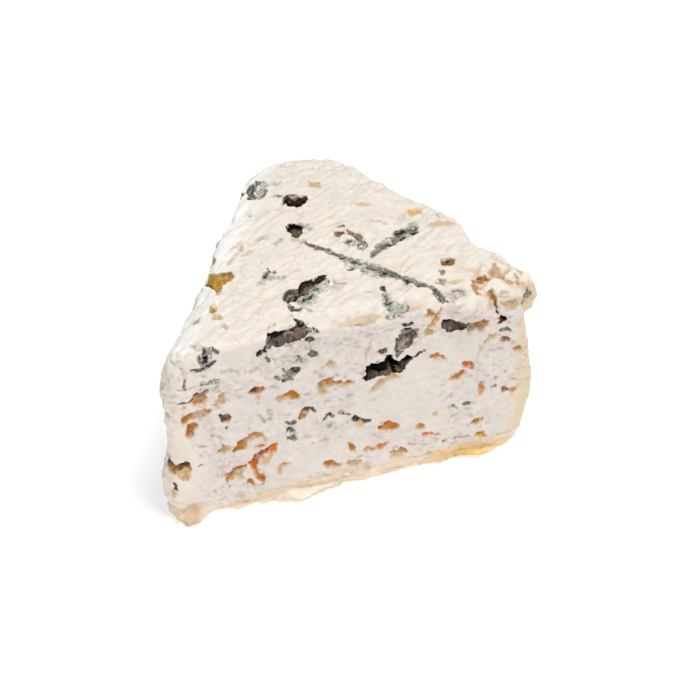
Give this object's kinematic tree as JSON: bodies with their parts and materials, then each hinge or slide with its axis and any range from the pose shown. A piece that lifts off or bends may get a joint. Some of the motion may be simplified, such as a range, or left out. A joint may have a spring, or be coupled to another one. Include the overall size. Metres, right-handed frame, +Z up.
{
  "type": "blue cheese wedge",
  "caption": "Wedge of soft blue-veined cheese cut from a round wheel, with mould pockets, crumbly crevices, needle tracks and a thin pale rind.",
  "frame": {"origin": "middle of the bounding box of the wedge, on its flat underside", "axes": "+X along the main cut face from the blunt nose to the rind, +Y away from the main cut face, +Z up"},
  "size_m": [0.1084, 0.0908, 0.0584],
  "materials": {
    "paste": "moist crumbly ivory paste with blue-grey mould, amber pockets and a pale yellow rind"
  },
  "bodies": {
    "root": {"cheese_wedge": "paste"}
  },
  "joints": []
}
